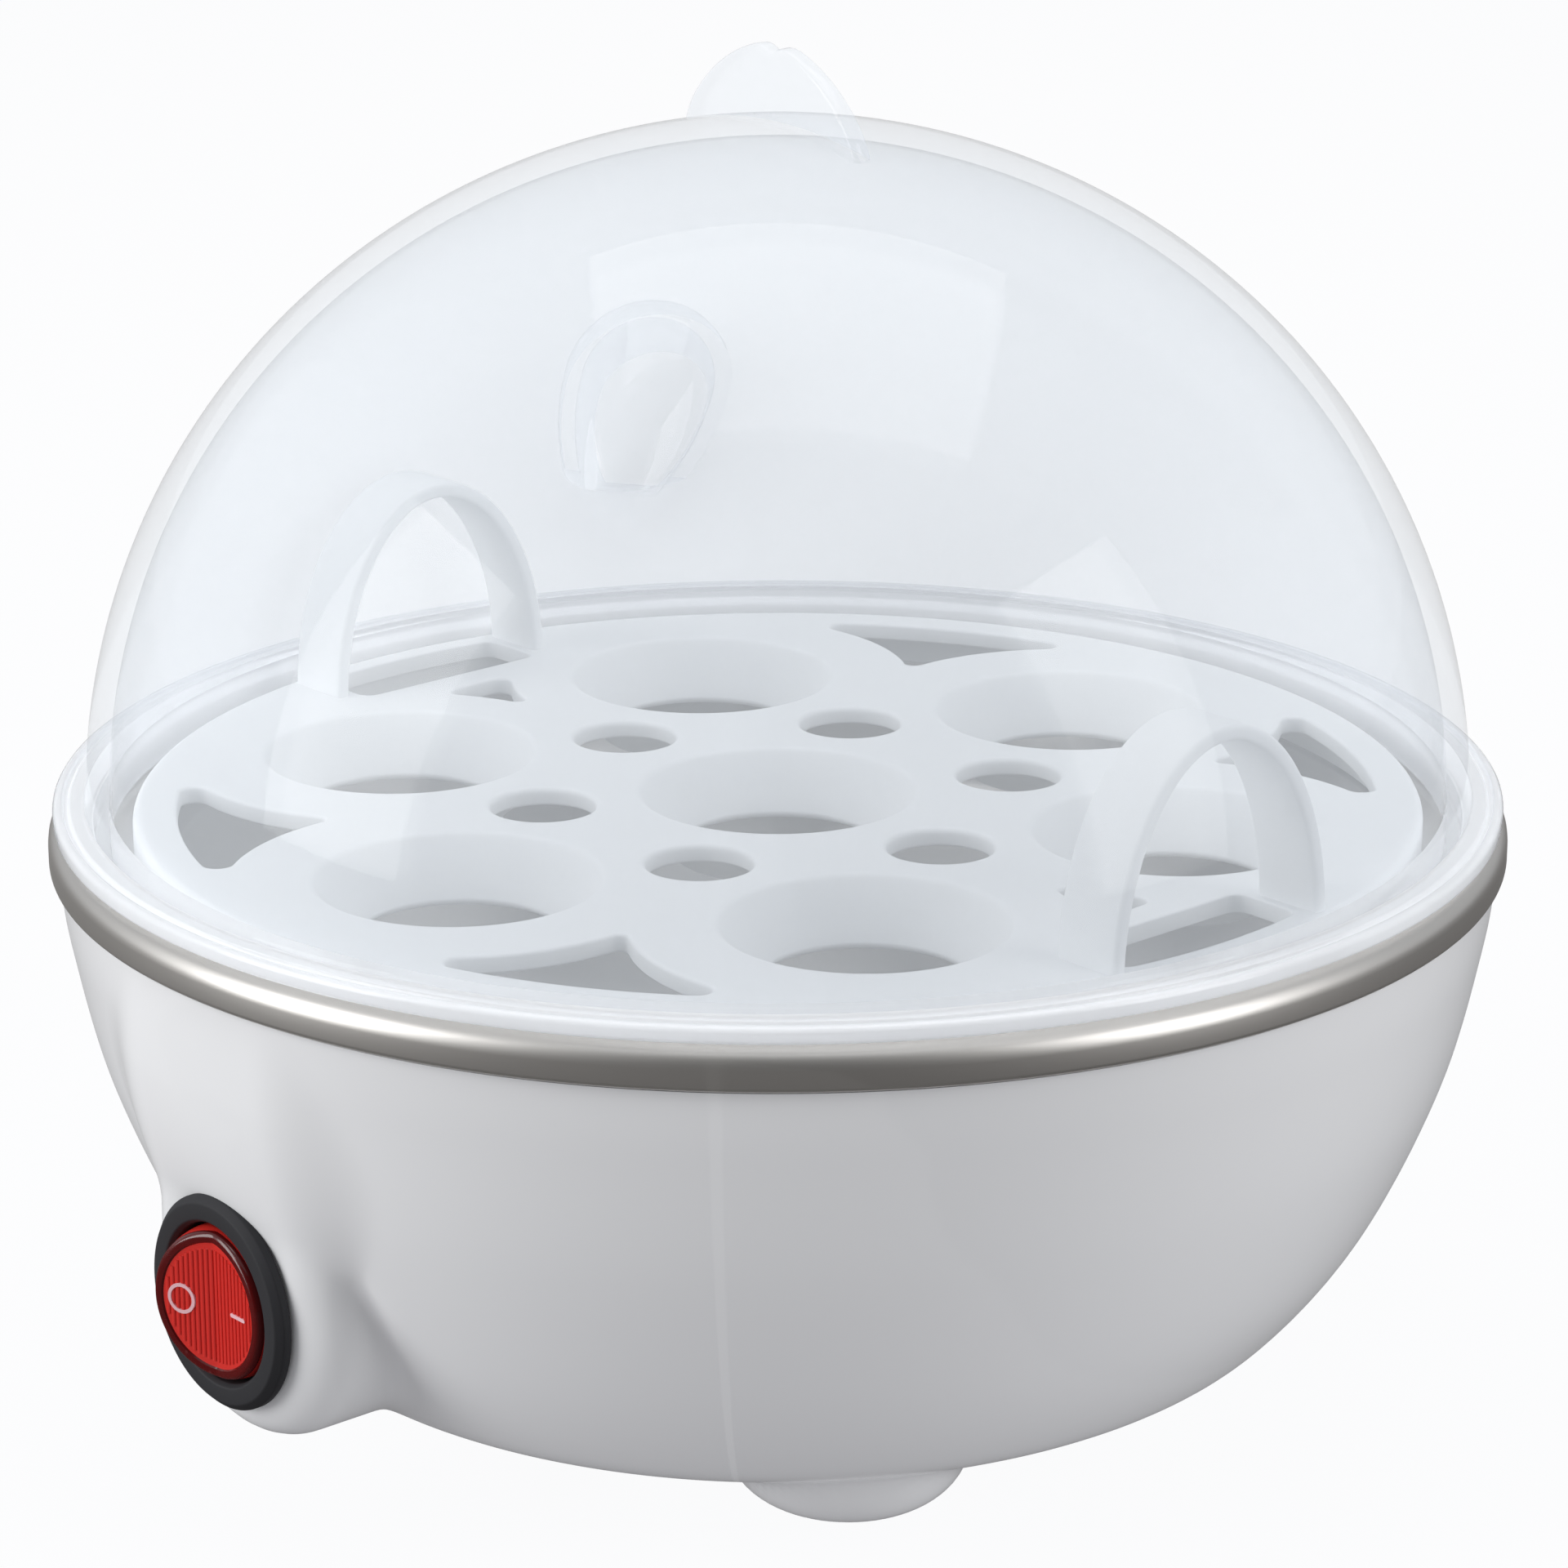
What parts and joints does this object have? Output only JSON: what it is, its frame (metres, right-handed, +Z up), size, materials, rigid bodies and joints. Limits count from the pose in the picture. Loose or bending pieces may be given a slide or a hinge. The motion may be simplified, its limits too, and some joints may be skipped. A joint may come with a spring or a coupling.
{
  "type": "egg cooker",
  "caption": "Round egg cooker: white bowl with steel water dish and heater, lift-out egg rack, clear domed lid and round rocker switch.",
  "frame": {"origin": "on the ground under the bowl's axis, between the three feet", "axes": "+Z up, -Y out of the front through the rocker switch, +X to the right seen from the front"},
  "size_m": [0.16, 0.16, 0.1497],
  "materials": {
    "white_plastic": "moulded, satin gloss",
    "milky_plastic": "moulded, slightly milky, satin",
    "clear_plastic": "clear moulded plastic, polished",
    "brushed_steel": "rolled and brushed round the rim",
    "steel": "plated",
    "alloy": "cast, satin",
    "brass": "stamped",
    "ceramic": "unglazed",
    "glass_fibre": "woven sleeve",
    "black_plastic": "moulded, satin",
    "black_rubber": "moulded",
    "red_lens": "clear-red moulded, fine ribs",
    "lamp_glass": "clear",
    "brown_sheath": "extruded",
    "blue_sheath": "extruded",
    "green_sheath": "extruded"
  },
  "bodies": {
    "base": {"base_shell": "white_plastic", "heating_plate": "brushed_steel", "heat_spreader": "alloy", "heater_tube": "steel", "heater_pin_left": "alloy", "heater_pin_right": "alloy", "plate_standoff_1": "alloy", "base_screw_1": "steel", "plate_standoff_2": "alloy", "base_screw_2": "steel", "plate_standoff_3": "alloy", "base_screw_3": "steel", "thermostat_cap": "alloy", "thermostat_body": "ceramic", "thermostat_terminal_left": "brass", "thermostat_terminal_right": "brass", "thermostat_strap": "steel", "thermostat_screw_1": "steel", "thermostat_screw_2": "steel", "thermal_fuse": "steel", "fuse_sleeve": "glass_fibre", "fuse_clip": "steel", "fuse_clip_screw": "steel", "earth_stud": "steel", "earth_tag": "brass", "earth_nut": "steel", "switch_housing": "black_plastic", "switch_terminal_live": "brass", "switch_terminal_common": "brass", "switch_terminal_lamp": "brass", "rocker_pin": "steel", "neon_lamp": "lamp_glass", "cord_bush": "black_rubber", "bush_lock_nut": "black_plastic", "lead_supply_live": "brown_sheath", "lead_supply_neutral": "blue_sheath", "lead_earth": "green_sheath", "lead_fuse_heater": "blue_sheath", "lead_thermostat": "brown_sheath", "lead_heater": "brown_sheath"},
    "rocker": {"switch_rocker": "red_lens", "rocker_plunger": "ceramic"},
    "contact": {"contact_blade": "brass"},
    "rack": {"egg_rack": "milky_plastic"},
    "lid": {"lid_dome": "clear_plastic"}
  },
  "joints": [
    {"name": "rack_lift", "type": "slide", "parent": "base", "child": "rack", "axis": [0, 0, 1], "range_m": [0, 0.04]},
    {"name": "lid_lift", "type": "slide", "parent": "rack", "child": "lid", "axis": [0, 0, 1], "range_m": [0, 0.095]},
    {"name": "rocker_press", "type": "hinge", "parent": "base", "child": "rocker", "pos_m": [0, -0.075, 0.0272], "axis": [0, 0, 1], "range_deg": [-20, 0]},
    {"name": "contact_rock", "type": "hinge", "parent": "base", "child": "contact", "pos_m": [0, -0.0622, 0.0272], "axis": [0, 0, 1], "range_deg": [0, 14]}
  ],
  "couplings": [
    {"joint": "contact_rock", "follows": "rocker_press", "ratio": -0.7}
  ]
}
